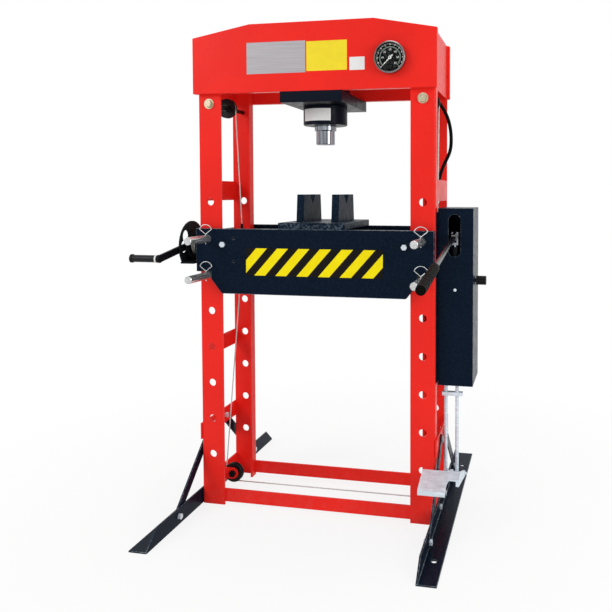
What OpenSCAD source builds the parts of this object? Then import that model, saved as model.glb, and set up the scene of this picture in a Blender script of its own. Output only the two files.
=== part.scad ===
// Hydraulic shop press with a hand and foot pump and a winch-lifted table.
// Millimetres, +Z up, front towards -Y, origin on the floor under the middle of the frame.

/* [Frame] */
// Width over the two side frames
frame_w = 904; // [860:1:1000]
// Depth over the front and rear uprights
frame_d = 304; // [290:1:340]
// Width of an upright's web
upright_w = 90; // [84:1:100]
// Depth of an upright's flange
flange_d = 45; // [38:1:52]
// Wall of the uprights
upright_t = 8; // [6:0.5:10]
// Outer bend radius of the uprights
upright_r = 9; // [5:0.5:12]
// Height of the crown's underside above the floor
crown_z = 1562; // [1540:1:1620]
// Height of the lowest pin hole
hole_first_z = 195; // [185:1:205]
// Pitch of the pin holes
hole_pitch = 138; // [134:1:142]
// Number of pin holes in an upright
hole_count = 8; // [7:1:9]

/* [Crown] */
// Length of the crown plates
crown_w = 920; // [910:1:1010]
// Thickness of the crown plates
crown_t = 25; // [20:1:30]
// Height of the crown plates at their ends
crown_end_h = 206; // [195:1:230]
// Rise of the crown's flat top over its ends
crown_rise = 42; // [20:1:60]
// Length of the crown's flat top
crown_flat_w = 468; // [300:1:600]
// Width of the cylinder's mounting plate
mount_w = 234; // [210:1:280]
// Thickness of the cylinder's mounting plate
mount_t = 40; // [30:1:45]

/* [Cylinder] */
// Diameter of the cylinder below its mounting plate
cylinder_d = 168; // [164:1:180]
// Diameter of the ram
ram_d = 84; // [76:1:88]
// Diameter of the ram's tip
tip_d = 72; // [60:1:76]
// Height of the ram's tip
tip_h = 52; // [40:1:60]

/* [Table] */
// Height of the table plates
table_h = 243; // [230:1:260]
// Height of the table plates at their ends
table_end_h = 162; // [158:1:175]
// Thickness of the table plates
table_t = 22; // [15:1:25]
// Room between a table plate and the uprights
table_gap = 6; // [4:0.5:9]
// Diameter of the table pins
pin_d = 28; // [24:1:30]
// Reach of the table pins in front of the uprights
pin_reach = 176; // [150:1:200]
// Thickness of the arbour plates
arbour_t = 24; // [18:1:30]
// Width of an arbour plate
arbour_w = 126; // [110:1:140]
// Height of the V-blocks
vblock_h = 103; // [90:1:110]
// Length of the V-blocks
vblock_l = 220; // [180:1:250]
// Thickness of the V-blocks
vblock_t = 28; // [24:1:36]

/* [Feet] */
// Length of the feet
foot_l = 1083; // [1000:1:1200]
// Height of a foot's upright leg
foot_h = 60; // [56:1:66]
// Width of a foot's flat leg
foot_w = 66; // [60:1:80]
// Wall of the feet, straps and braces
foot_t = 6; // [5:0.5:8]
// Diameter of the floor anchor holes
anchor_d = 18; // [12:1:22]
// Spacing of the anchor holes along a foot
anchor_pitch = 800; // [760:1:840]

/* [Pump] */
// Width of the pump box
box_w = 126; // [118:1:140]
// Depth of the pump box
box_d = 195; // [185:1:200]
// Height of the pump box
box_h = 640; // [620:1:660]
// Length of the hand lever from its pivot to the end of its grip
lever_l = 750; // [600:1:800]
// Diameter of the hand lever
lever_d = 17; // [14:0.5:18]

/* [Hidden] */
$fn = 64;
// Overrun of every cut
over = 1;
// Running fit of a shaft in its bearing, on the radius
run_gap = 0.05;
// Clearance of a loose fit, on the radius
loose_gap = 0.3;

// Side frames
side_x = frame_w / 2;
col_x = side_x - upright_w / 2;
front_y = -frame_d / 2;
gap_y = frame_d / 2 - flange_d;
upright_lap = 178;
upright_h = crown_z + upright_lap;
hole_d = pin_d + 2 * loose_gap;
strap_z = 1203;
strap_h = 78;
middle_strap_z = 589;
low_strap_z = 279;
low_strap_h = 62;
web_y = frame_d / 2 - upright_t;
tie_bar_z = 10;
tie_bar_h = 50;
tie_bar_t = 8;
tie_bar_lap = 13;
tie_bar_l = frame_w - 2 * upright_w;

// Bolts of the side frames
bolt_d = 12;
bolt_hole_d = bolt_d + 2 * loose_gap;
bolt_af = 19;
bolt_head_h = 7.5;
bolt_nut_h = 10;
foot_bolt_y = 60;
foot_bolt_z = 28;
brace_top_y = 50;
brace_low_y = 330;
brace_low_z = 30;
brace_w = 38;

// Feet
foot_chamfer_l = 65;
anchor_gauge = 36;
anchor_x = side_x + anchor_gauge;

// Crown
crown_y = front_y - crown_t;
end_plate_t = 6;
gauge_inset = 164;
gauge_x = crown_w / 2 - gauge_inset;
gauge_rise = 105;
gauge_z = crown_z + gauge_rise;

// Pressure gauge, depths measured forward from the crown's face
gauge_r = 56;
gauge_case_r = 52;
gauge_cup_r = 53;
gauge_lip_r = 51;
gauge_flare_h = 5;
gauge_cup_h = 8;
gauge_lip_h = 20;
gauge_h = 25;
gauge_edge = 3;
dial_t = 1.5;
dial_post_r = 2;
dial_post_h = 6;
needle_hub_r = 6;
needle_hub_t = 3;
needle_lift = 0.6;
needle_l = 42;
needle_tail_l = 13;
needle_w = 4;
needle_tip_w = 1.2;
needle_t = 1.5;
needle_rest_deg = 225;
lens_t = 2;
lens_gap = 0.2;

// Cylinder and ram
cylinder_drop = 70;
cylinder_neck_d = 150;
cylinder_rise = 150;
cylinder_top = crown_z + cylinder_rise;
cylinder_cap_t = 18;
cylinder_wall_share = 0.13;
cylinder_bore_d = cylinder_neck_d * (1 - 2 * cylinder_wall_share);
gland_h = 30;
cylinder_low_z = crown_z - mount_t - cylinder_drop;
ram_show = 22;
piston_h = 30;
piston_drop = 10;
port_r = 12;
port_reach = 20;
port_rise = 68;
port_z = crown_z + port_rise;
ring_d = 190;
ring_t = 24;
edge = 3;

// Table
free_hole_count = 5;
low_pin_z = hole_first_z + free_hole_count * hole_pitch;
high_pin_z = low_pin_z + hole_pitch;
ledge_z = low_pin_z + pin_d / 2 + loose_gap;
table_z = ledge_z + table_end_h;
table_low_z = table_z - table_h;
table_front_y = front_y - table_gap - table_t;
notch_x = col_x - pin_d / 2 - 2 * loose_gap;
notch_drop = 28;
table_toe_inset = 101;
table_toe_x = side_x - table_toe_inset;
tie_d = 28;
tie_bolt_d = 12;
tie_bolt_af = 19;
tie_bolt_head_h = 8;
tie_edge_gap = 3;
tie_x = side_x - upright_w - tie_edge_gap - tie_d / 2;
tie_drop = 59;
tie_z = table_z - tie_drop;
spy_hole_d = 9;
spy_hole_inset = 150;
spy_hole_x = spy_hole_inset - side_x;
spy_hole_drops = [36, 122];
lug_t = 10;
lug_w = 26;
lug_shift = 5;
lug_x = tie_x + lug_shift;
lug_rise = 44;
lug_drop = 40;
ferrule_d = 11;
ferrule_h = 24;

// Table pins and their wire clips
pin_edge = 2;
pin_tail = 25;
pin_l = pin_reach + frame_d + table_gap + table_t + pin_tail;
clip_d = 3;
clip_hole_d = clip_d + 2 * loose_gap;
clip_stand = 12;
clip_y = table_front_y - clip_stand;
clip_half_w = 24;
clip_low_h = 19;
clip_top_h = 36;
clip_leg_over = 3;
clip_leg_tail = 6;

// Pieces that lie on the table
arbour_l = frame_d + 2 * (table_gap + table_t);
arbour_slit = 1;
arbour_edge = 2;
vblock_y = 20;
vblock_left_x = -74;
vblock_right_x = 63;
vblock_top_share = 0.9;
vblock_notch_w = 62;
vblock_notch_h = 34;

// Ropes, pulleys and their axles
rope_d = 5;
rope_gap = 0.8;
rope_sides = 8;
rope_arc_steps = 12;
pulley_r = 38;
pulley_groove_r = 31;
pulley_w = 18;
pulley_mouth_w = 11;
pulley_floor_w = 7;
pulley_hub_r = 14;
pulley_rim_r = 27;
pulley_recess = 3;
axle_d = 16;
axle_af = 24;
axle_head_h = 10;
washer_d = 38;
washer_t = 3;
collar_d = 26;
collar_l = 8;
wrap_r = pulley_groove_r + rope_d / 2 + rope_gap;
high_pulley_drop = 34;
high_pulley_z = crown_z - high_pulley_drop;
low_pulley_shift = 14;
low_pulley_x = col_x - low_pulley_shift;
low_pulley_z = 64;
cheek_t = 6;
cheek_r = 22;
bracket_t = 6;
bracket_foot_gap = 8;
bracket_h = low_pulley_z + cheek_r - bracket_foot_gap;
bracket_w = pulley_w + 2 * loose_gap + 2 * cheek_t;

// Winch on the left side frame
winch_y = -109;
winch_drop = 70;
winch_z = table_z - winch_drop;
winch_plate_h = 120;
winch_plate_edge = 2;
winch_plate_l = frame_d - 2 * winch_plate_edge;
winch_cheek_r = 95;
winch_cheek_t = 6;
winch_base_l = 164;
winch_room = 47;
winch_window_r = 24;
winch_window_ring_r = 62;
winch_window_degs = [38, 142, 180, 0];
drum_core_r = 28;
drum_flange_r = 55;
drum_flange_t = 4;
drum_side_gap = 2;
winch_base_drop = drum_flange_r + winch_cheek_t + drum_side_gap;
shaft_d = 20;
shaft_end_gap = 1;
boss_r = 18;
crank_l = 213;
crank_droop_deg = 9;
crank_w = 26;
crank_eye_r = 14.5;
crank_t = 8;
crank_hub_r = 18;
crank_gap = 7;
spindle_d = 12;
grip_l = 104;
grip_d = 26;
grip_collar_d = 31;
grip_collar_l = 7;
grip_washer_t = 3;
winch_x = -side_x - foot_t;
cheek_x = winch_x - winch_room - winch_cheek_t;
crank_x = cheek_x - crank_gap - crank_t;

// Pump box and what it holds
plate_t = 4;
plate_lap = 33;
plate_inset = 15;
box_wall = 3;
box_top_gap = 24;
box_top_z = strap_z - strap_h / 2 - box_top_gap;
box_z = box_top_z - box_h;
box_x = side_x + plate_t;
box_set_back = 38;
box_front_y = front_y + box_set_back;
slot_w = 44;
slot_drop = 174;
slot_low_z = box_top_z - slot_drop;
slot_h = 152;
lever_inset = 59;
lever_x = box_x + lever_inset;
lever_set_back = 45;
lever_y = box_front_y + lever_set_back;
lever_drop = 94;
lever_z = box_top_z - lever_drop;
lever_droop_deg = 7.8;
lever_eye_r = 12;
lever_hub_r = 9;
lever_tongue_t = 12;
lever_tongue_l = 74;
lever_pin_d = 12;
lever_grip_l = 240;
lever_grip_d = 29;
lever_grip_wall = 4;
lever_grip_ridge_count = 9;
ridge_h = 0.8;
plunger_arm = 25;
plunger_swing = 3.5;
plunger_y = lever_y - plunger_arm + plunger_swing;
plunger_d = 16;
plunger_pin_d = 8;
plunger_pin_l = 26;
plunger_pin_z = lever_z - plunger_arm * sin(lever_droop_deg);
fork_ear_t = 5;
fork_depth = 27;
fork_top = 11;
fork_l = 24;
fork_slot_l = 18;
fork_slot_h = 10.4;
fork_base_h = 8;
tank_w = 96;
tank_d = 140;
tank_rise = 20;
tank_z = box_z + tank_rise;
tank_drop = 146;
tank_top = lever_z - tank_drop;
tank_h = tank_top - tank_z;
tank_set_back = 14;
tank_y = box_front_y + tank_set_back;
barrel_d = 28;
barrel_h = 100;
plunger_foot_gap = 30;
ear_t = 6;
ear_w = 24;
ear_gap = 0.7;
ear_x = lever_tongue_t / 2 + loose_gap + fork_ear_t + ear_gap;
knob_d = 33;
knob_l = 36;
knob_stem_d = 12;
knob_stem_l = 24;
knob_stand = 3;
knob_grip_count = 10;
knob_grip_r = 2.5;
knob_y = -22;
knob_drop = 27;
knob_z = tank_top - knob_drop;

// Foot pump
tube_d = 13;
rod_set_back = 29;
rod_y = box_front_y + rod_set_back;
hanger_inset = 26;
hanger_x = box_x + hanger_inset;
rod_inset = 67;
rod_x = box_x + rod_inset;
pedal_arm = 25;
pedal_swing_deg = 20;
pedal_pin_y = -pedal_arm * cos(pedal_swing_deg / 2);
pedal_pin_z = pedal_arm * sin(pedal_swing_deg / 2);
pedal_pivot_y = rod_y - pedal_pin_y;
pedal_pivot_z = 162;
pedal_pin_d = 10;
pedal_pin_over = 6;
pedal_bush_r = 10;
pedal_plate_w = 93;
pedal_plate_l = 105;
pedal_plate_t = 5;
pedal_plate_lap = 34;
pedal_plate_x = side_x - pedal_plate_lap;
pedal_reach = 155;
pedal_rise = 62;
pedal_drop = 30;
pedal_lip_h = 12;
pedal_strip_share = 0.4;
pedal_arm_w = 10;
pedal_arm_h = 18;
pedal_arm_gap = 17;
rod_pin_d = 8;
rod_eye_r = 11;
rod_eye_t = 8;
rod_slack = 0.8;
rod_eye_d = rod_pin_d + 2 * rod_slack;
rod_eye_z = pedal_pivot_z + pedal_pin_z;
rod_over = 14;
rod_top_z = box_z + rod_over;
hanger_eye_t = 10;
hanger_eye_r = 13;
guide_drop = 42;
guide_z = box_z - guide_drop;
guide_h = 13;
guide_l = 74;
guide_d = 20;

// Pressure hose from the cylinder's port, out under the crown's end and back inside the upper strap to the
// elbow on the pump's back plate, with a straight stub at each end
hose_d = 13;
hose_sides = 10;
hose_steps = 12;
hose_y = 40;
elbow_r = 12;
elbow_inset = 26;
elbow_x = side_x - elbow_inset;
elbow_drop = 82;
elbow_z = box_top_z - elbow_drop;
elbow_rise = 20;
hose_bulge = 30;
hose_bulge_z = 1392;
hose_lead = 211;
hose_fall = 179;
hose_dip = 95;
hose_sink = 225;
hose_stub = 30;

// Colours
red = [0.90, 0.12, 0.10];
navy = [0.04, 0.09, 0.15];
zinc = [0.74, 0.76, 0.78];
steel = [0.82, 0.83, 0.85];
black = [0.06, 0.06, 0.07];
white = [0.92, 0.92, 0.90];
glass = [0.85, 0.92, 0.95, 0.4];

// Copies a right-hand piece to the left side
module left_side() {
    mirror([1, 0, 0]) children();
}

// Copies a front piece to the rear
module rear_side() {
    mirror([0, 1, 0]) children();
}

// Places children on all four corners of the frame
module four_corners() {
    children();
    left_side() children();
    rear_side() children();
    left_side() rear_side() children();
}

// A rod along X from x0 to x1
module rod_x(d, x0, x1) {
    translate([x0, 0, 0]) rotate([0, 90, 0]) cylinder(d = d, h = x1 - x0);
}

// A rod along Y from y0 to y1
module rod_y(d, y0, y1) {
    translate([0, y0, 0]) rotate([-90, 0, 0]) cylinder(d = d, h = y1 - y0);
}

// A hexagonal head or nut along +X from x = 0
module hex_x(across_flats, h) {
    rotate([0, 90, 0]) cylinder(d = across_flats / cos(30), h = h, $fn = 6);
}

// A hexagonal head or nut along +Y from y = 0
module hex_y(across_flats, h) {
    rotate([-90, 0, 0]) cylinder(d = across_flats / cos(30), h = h, $fn = 6);
}

// A plate cut from an outline in X and Z, from y0 to y1
module plate_xz(y0, y1) {
    translate([0, y1, 0]) rotate([90, 0, 0]) linear_extrude(y1 - y0) children();
}

// A plate cut from an outline in Y and Z, from x0 to x1
module plate_yz(x0, x1) {
    translate([x0, 0, 0]) rotate([90, 0, 90]) linear_extrude(x1 - x0) children();
}

// A bar outline with round ends between two points
module round_bar(a, b, w) {
    span = b - a;
    translate(a) rotate(atan2(span[1], span[0])) translate([0, -w / 2]) square([norm(span), w]);
    translate(a) circle(d = w);
    translate(b) circle(d = w);
}

function unit(v) = v / norm(v);
function tangent(p, i) =
    i == 0 ? unit(p[1] - p[0])
    : i == len(p) - 1 ? unit(p[i] - p[i - 1])
    : unit(unit(p[i + 1] - p[i]) + unit(p[i] - p[i - 1]));

// A round cord swept along its route, which never runs along Y
module cord(route, d, sides) {
    last = len(route) - 1;
    points = [
        for (i = [0:last])
            let (t = tangent(route, i), n = unit(cross(t, [0, 1, 0])), b = cross(t, n))
                for (s = [0:sides - 1])
                    route[i] + d / 2 * (cos(360 * s / sides) * n + sin(360 * s / sides) * b)
    ];
    sides_a = [
        for (i = [0:last - 1], s = [0:sides - 1])
            [i * sides + s, i * sides + (s + 1) % sides, (i + 1) * sides + s]
    ];
    sides_b = [
        for (i = [0:last - 1], s = [0:sides - 1])
            [i * sides + (s + 1) % sides, (i + 1) * sides + (s + 1) % sides, (i + 1) * sides + s]
    ];
    start_cap = [for (s = [0:sides - 1]) sides - 1 - s];
    end_cap = [for (s = [0:sides - 1]) last * sides + s];
    polyhedron(points, concat(sides_a, sides_b, [start_cap, end_cap]), convexity = 8);
}

// Points round a pulley from one angle to another, in the plane of the ropes
function wrap(x, z, from, to) = [
    for (i = [0:rope_arc_steps])
        let (a = from + (to - from) * i / rope_arc_steps)
            [x + wrap_r * cos(a), 0, z + wrap_r * sin(a)]
];

// Angle at which a rope from a point meets a pulley, on the side that turn gives
function meet(x, z, px, pz, turn) =
    atan2(pz - z, px - x) + turn * acos(wrap_r / norm([px - x, pz - z]));

// Side frames

// Angle section: a web across the front and a flange back along its outer edge
module upright_section() {
    difference() {
        union() {
            translate([-upright_w / 2, upright_r]) square([upright_w, flange_d - upright_r]);
            translate([-upright_w / 2, 0]) square([upright_w - upright_r, flange_d]);
            translate([upright_w / 2 - upright_r, upright_r]) circle(r = upright_r);
        }
        translate([-upright_w / 2 - over, upright_t])
            square([upright_w - upright_t + over, flange_d]);
    }
}

module upright() {
    color(red) difference() {
        translate([col_x, front_y, 0]) linear_extrude(upright_h) upright_section();
        for (row = [0:hole_count - 1])
            translate([col_x, front_y, hole_first_z + row * hole_pitch])
                rod_y(hole_d, -over, upright_t + over);
        translate([col_x, front_y, high_pulley_z])
            rod_y(axle_d + 2 * loose_gap, -over, upright_t + over);
    }
}

// The same angle, turned half round within its side frame
module rear_upright() {
    translate([col_x, 0, 0]) rotate(180) translate([-col_x, 0, 0]) upright();
}

module left_front_upright() { left_side() upright(); }
module left_rear_upright() { left_side() rear_upright(); }
module right_front_upright() { upright(); }
module right_rear_upright() { rear_upright(); }

// A strap let in between the front upright's flange and the rear upright's web
module strap(z, h) {
    plate_yz(side_x - foot_t, side_x)
        translate([-gap_y, z - h / 2]) square([gap_y + web_y, h]);
}

module right_straps() {
    strap(strap_z, strap_h);
    strap(middle_strap_z, low_strap_h);
    difference() {
        plate_yz(side_x, side_x + foot_t)
            translate([front_y, low_strap_z - low_strap_h / 2]) square([frame_d, low_strap_h]);
        for (end = [-1, 1])
            translate([side_x, end * brace_top_y, low_strap_z]) rod_x(bolt_hole_d, -over, foot_t + over);
    }
}

module side_straps() {
    color(red) {
        right_straps();
        left_side() right_straps();
    }
}

// A tie bar against the rear of the front webs, longer by a lap at each end
module tie_bar(lap) {
    color(red) translate([-tie_bar_l / 2 - lap, -web_y, tie_bar_z])
        cube([tie_bar_l + 2 * lap, tie_bar_t, tie_bar_h]);
}

module front_tie_bar() { tie_bar(tie_bar_lap); }
module rear_tie_bar() { rear_side() tie_bar(0); }

module foot() {
    flat_l = foot_l / 2;
    shoulder = flat_l - foot_chamfer_l;
    color(navy) difference() {
        union() {
            plate_yz(side_x, side_x + foot_t)
                polygon([
                    [-flat_l, 0], [flat_l, 0], [flat_l, foot_t], [shoulder, foot_h],
                    [-shoulder, foot_h], [-flat_l, foot_t]
                ]);
            translate([side_x, -flat_l, 0]) cube([foot_w, foot_l, foot_t]);
        }
        for (end = [-1, 1]) {
            translate([anchor_x, end * anchor_pitch / 2, -over])
                cylinder(d = anchor_d, h = foot_t + 2 * over);
            translate([side_x, end * foot_bolt_y, foot_bolt_z]) rod_x(bolt_hole_d, -over, foot_t + over);
            translate([side_x, end * brace_low_y, brace_low_z]) rod_x(bolt_hole_d, -over, foot_t + over);
        }
    }
}

module left_foot() { left_side() foot(); }
module right_foot() { foot(); }

module front_right_brace() {
    top = [-brace_top_y, low_strap_z];
    low = [-brace_low_y, brace_low_z];
    plate_yz(side_x + foot_t, side_x + 2 * foot_t) difference() {
        round_bar(low, top, brace_w);
        translate(top) circle(d = bolt_hole_d);
        translate(low) circle(d = bolt_hole_d);
    }
}

module foot_braces() {
    color(navy) four_corners() front_right_brace();
}

// A bolt and its nut through two walls, its head at x0 and its nut at x1
module wall_bolt(x0, x1) {
    rod_x(bolt_d, x1 - bolt_nut_h, x0 + bolt_head_h);
    translate([x0, 0, 0]) hex_x(bolt_af, bolt_head_h);
    translate([x1 - bolt_nut_h, 0, 0]) hex_x(bolt_af, bolt_nut_h);
}

module front_right_bolts() {
    leg_x = side_x + foot_t;
    brace_x = leg_x + foot_t;
    translate([0, -foot_bolt_y, foot_bolt_z]) wall_bolt(leg_x, side_x - bracket_t);
    translate([0, -brace_top_y, low_strap_z]) wall_bolt(brace_x, side_x);
    translate([0, -brace_low_y, brace_low_z]) wall_bolt(brace_x, side_x);
}

module frame_bolts() {
    color(zinc) four_corners() front_right_bolts();
}

// Crown

module crown_outline() {
    polygon([
        [-crown_w / 2, crown_z], [crown_w / 2, crown_z], [crown_w / 2, crown_z + crown_end_h],
        [crown_flat_w / 2, crown_z + crown_end_h + crown_rise],
        [-crown_flat_w / 2, crown_z + crown_end_h + crown_rise],
        [-crown_w / 2, crown_z + crown_end_h]
    ]);
}

module crown_front_plate() {
    color(red) plate_xz(crown_y, front_y) crown_outline();
}

module crown_rear_plate() {
    color(red) plate_xz(-front_y, -crown_y) crown_outline();
}

module crown_end_plates() {
    color(red) for (side = [0, 1])
        mirror([side, 0, 0])
            translate([side_x - upright_t, -gap_y, crown_z])
                cube([end_plate_t, gap_y + web_y, crown_end_h]);
}

module cylinder_mount_plate() {
    color(navy) difference() {
        translate([-mount_w / 2, crown_y, crown_z - mount_t]) cube([mount_w, -2 * crown_y, mount_t]);
        translate([0, 0, crown_z - mount_t - over])
            cylinder(d = cylinder_neck_d + 2 * loose_gap, h = mount_t + 2 * over);
    }
}

// Cylinder and ram

module cylinder_body() {
    collar_z = crown_z - mount_t;
    color(navy) {
        rotate_extrude() polygon([
            [ram_d / 2 + run_gap, cylinder_low_z], [cylinder_d / 2 - edge, cylinder_low_z],
            [cylinder_d / 2, cylinder_low_z + edge], [cylinder_d / 2, collar_z],
            [cylinder_neck_d / 2, collar_z], [cylinder_neck_d / 2, cylinder_top - edge],
            [cylinder_neck_d / 2 - edge, cylinder_top], [0, cylinder_top],
            [0, cylinder_top - cylinder_cap_t], [cylinder_bore_d / 2, cylinder_top - cylinder_cap_t],
            [cylinder_bore_d / 2, cylinder_low_z + gland_h], [ram_d / 2 + run_gap, cylinder_low_z + gland_h]
        ]);
        translate([0, 0, port_z])
            rod_x(2 * port_r, cylinder_neck_d / 2 - edge, cylinder_neck_d / 2 + port_reach);
    }
}

module cylinder_lock_ring() {
    color(navy) translate([0, 0, crown_z]) difference() {
        cylinder(d = ring_d, h = ring_t);
        translate([0, 0, -over]) cylinder(d = cylinder_neck_d + 2 * run_gap, h = ring_t + 2 * over);
    }
}

module ram() {
    low_z = cylinder_low_z - ram_show;
    piston_z = cylinder_top - cylinder_cap_t - piston_drop;
    color(steel) rotate_extrude() polygon([
        [0, low_z], [ram_d / 2 - edge, low_z], [ram_d / 2, low_z + edge], [ram_d / 2, piston_z - piston_h],
        [cylinder_bore_d / 2 - run_gap, piston_z - piston_h], [cylinder_bore_d / 2 - run_gap, piston_z],
        [0, piston_z]
    ]);
}

module ram_tip() {
    top_z = cylinder_low_z - ram_show;
    color(steel) rotate_extrude() polygon([
        [0, top_z - tip_h], [tip_d / 2 - edge, top_z - tip_h], [tip_d / 2, top_z - tip_h + edge],
        [tip_d / 2, top_z], [0, top_z]
    ]);
}

// Pressure gauge, turned about an axis that points forward from the crown's face

module on_gauge() {
    translate([gauge_x, crown_y, gauge_z]) rotate([90, 0, 0]) children();
}

module gauge_case() {
    color(steel) on_gauge() rotate_extrude() polygon([
        [0, 0], [gauge_case_r, 0], [gauge_case_r, gauge_flare_h], [gauge_r, gauge_flare_h],
        [gauge_r, gauge_h - gauge_edge], [gauge_r - gauge_edge, gauge_h], [gauge_lip_r, gauge_h],
        [gauge_lip_r, gauge_lip_h], [gauge_cup_r, gauge_lip_h], [gauge_cup_r, gauge_cup_h], [0, gauge_cup_h]
    ]);
}

module gauge_dial() {
    color(black) on_gauge() translate([0, 0, gauge_cup_h]) {
        cylinder(r = gauge_cup_r - lens_gap, h = dial_t);
        cylinder(r = dial_post_r, h = dial_t + dial_post_h);
    }
}

module gauge_needle() {
    color(white) on_gauge() translate([0, 0, gauge_cup_h + dial_t + needle_lift]) difference() {
        union() {
            cylinder(r = needle_hub_r, h = needle_hub_t);
            rotate(needle_rest_deg) linear_extrude(needle_t) polygon([
                [-needle_tail_l, -needle_w / 2], [needle_l, -needle_tip_w / 2],
                [needle_l, needle_tip_w / 2], [-needle_tail_l, needle_w / 2]
            ]);
        }
        translate([0, 0, -over]) cylinder(r = dial_post_r + run_gap, h = needle_hub_t + 2 * over);
    }
}

module gauge_lens() {
    color(glass) on_gauge() translate([0, 0, gauge_lip_h - lens_t])
        cylinder(r = gauge_cup_r - lens_gap, h = lens_t);
}

// Table

module table_outline() {
    polygon([
        [-side_x, table_z], [-side_x, ledge_z], [-notch_x, ledge_z], [-notch_x, ledge_z - notch_drop],
        [-table_toe_x, table_low_z], [table_toe_x, table_low_z], [notch_x, ledge_z - notch_drop],
        [notch_x, ledge_z], [side_x, ledge_z], [side_x, table_z]
    ]);
}

module table_plate(y0) {
    color(navy) plate_xz(y0, y0 + table_t) difference() {
        table_outline();
        for (side = [-1, 1]) {
            translate([side * col_x, high_pin_z]) circle(d = hole_d);
            translate([side * tie_x, tie_z]) circle(d = tie_bolt_d + 2 * loose_gap);
        }
        for (drop = spy_hole_drops)
            translate([spy_hole_x, table_z - drop]) circle(d = spy_hole_d);
    }
}

module table_front_plate() { table_plate(table_front_y); }
module table_rear_plate() { table_plate(-table_front_y - table_t); }

// Lug on a tie tube, with a ferrule for the rope above it and, if low is true, one below
module rope_lug(low) {
    low_z = tie_z - lug_drop;
    high_z = tie_z + lug_rise;
    difference() {
        plate_xz(-lug_t / 2, lug_t / 2)
            translate([lug_x - lug_w / 2, low_z]) square([lug_w, high_z - low_z]);
        translate([tie_x, 0, tie_z]) rod_y(tie_d, -lug_t, lug_t);
    }
    translate([lug_x, 0, high_z]) cylinder(d = ferrule_d, h = ferrule_h);
    if (low) translate([lug_x, 0, low_z - ferrule_h]) cylinder(d = ferrule_d, h = ferrule_h);
}

module table_tie(low) {
    half_l = frame_d / 2 + table_gap;
    difference() {
        union() {
            translate([tie_x, 0, tie_z]) rod_y(tie_d, -half_l, half_l);
            rope_lug(low);
        }
        translate([tie_x, 0, tie_z]) rod_y(tie_bolt_d + 2 * loose_gap, -half_l - over, half_l + over);
    }
}

module table_ties() {
    color(navy) {
        table_tie(false);
        left_side() table_tie(true);
    }
}

module table_tie_bolts() {
    color(zinc) for (side = [-1, 1])
        translate([side * tie_x, 0, tie_z]) {
            rod_y(tie_bolt_d, table_front_y, -table_front_y);
            translate([0, table_front_y - tie_bolt_head_h, 0]) hex_y(tie_bolt_af, tie_bolt_head_h);
            translate([0, -table_front_y, 0]) hex_y(tie_bolt_af, tie_bolt_head_h);
        }
}

// Wire clip: a leg through the pin and a loop of two straight sides and an arc
module pin_clip() {
    apex = pin_d / 2 + clip_leg_over;
    rise = clip_top_h - clip_low_h;
    arc_r = (clip_half_w * clip_half_w + rise * rise) / (2 * rise);
    arc_z = apex + clip_top_h - arc_r;
    swing = asin(clip_half_w / arc_r);
    leg_low = -pin_d / 2 - clip_leg_tail;
    side_l = norm([clip_half_w, clip_low_h]);
    translate([0, 0, leg_low]) cylinder(d = clip_d, h = apex - leg_low);
    translate([0, 0, apex]) sphere(d = clip_d);
    for (side = [-1, 1])
        translate([0, 0, apex]) rotate([0, side * atan2(clip_half_w, clip_low_h), 0]) {
            cylinder(d = clip_d, h = side_l);
            translate([0, 0, side_l]) sphere(d = clip_d);
        }
    translate([0, 0, arc_z]) rotate([90, 0, 0]) rotate(90 - swing)
        rotate_extrude(angle = 2 * swing) translate([arc_r, 0]) circle(d = clip_d);
}

module table_pin(side, z) {
    color(zinc) translate([side * col_x, 0, z]) {
        difference() {
            translate([0, front_y - pin_reach, 0]) rotate([-90, 0, 0]) rotate_extrude() polygon([
                [0, 0], [pin_d / 2 - pin_edge, 0], [pin_d / 2, pin_edge], [pin_d / 2, pin_l - pin_edge],
                [pin_d / 2 - pin_edge, pin_l], [0, pin_l]
            ]);
            translate([0, clip_y, -pin_d]) cylinder(d = clip_hole_d, h = 2 * pin_d);
        }
        translate([0, clip_y, 0]) pin_clip();
    }
}

module left_high_pin() { table_pin(-1, high_pin_z); }
module left_low_pin() { table_pin(-1, low_pin_z); }
module right_high_pin() { table_pin(1, high_pin_z); }
module right_low_pin() { table_pin(1, low_pin_z); }

module arbour_plate() {
    color(black) translate([arbour_slit / 2, 0, table_z]) plate_xz(-arbour_l / 2, arbour_l / 2) polygon([
        [0, 0], [arbour_w, 0], [arbour_w, arbour_t - arbour_edge], [arbour_w - arbour_edge, arbour_t],
        [0, arbour_t]
    ]);
}

module left_arbour_plate() { left_side() arbour_plate(); }
module right_arbour_plate() { arbour_plate(); }

module v_block(x) {
    top_l = vblock_l * vblock_top_share;
    color(black) translate([x, vblock_y, table_z + arbour_t])
        plate_yz(-vblock_t / 2, vblock_t / 2) polygon([
            [-vblock_l / 2, 0], [vblock_l / 2, 0], [top_l / 2, vblock_h], [vblock_notch_w / 2, vblock_h],
            [0, vblock_h - vblock_notch_h], [-vblock_notch_w / 2, vblock_h], [-top_l / 2, vblock_h]
        ]);
}

module left_v_block() { v_block(vblock_left_x); }
module right_v_block() { v_block(vblock_right_x); }

// Pulleys, axles and ropes

module pulley(x, z) {
    half_w = pulley_w / 2;
    color(black) translate([x, 0, z]) rotate([90, 0, 0]) rotate_extrude() polygon([
        [axle_d / 2 + run_gap, -half_w], [pulley_hub_r, -half_w], [pulley_hub_r, pulley_recess - half_w],
        [pulley_rim_r, pulley_recess - half_w], [pulley_rim_r, -half_w], [pulley_r, -half_w],
        [pulley_r, -pulley_mouth_w / 2], [pulley_groove_r, -pulley_floor_w / 2],
        [pulley_groove_r, pulley_floor_w / 2], [pulley_r, pulley_mouth_w / 2],
        [pulley_r, half_w], [pulley_rim_r, half_w], [pulley_rim_r, half_w - pulley_recess],
        [pulley_hub_r, half_w - pulley_recess], [pulley_hub_r, half_w], [axle_d / 2 + run_gap, half_w]
    ]);
}

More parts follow.
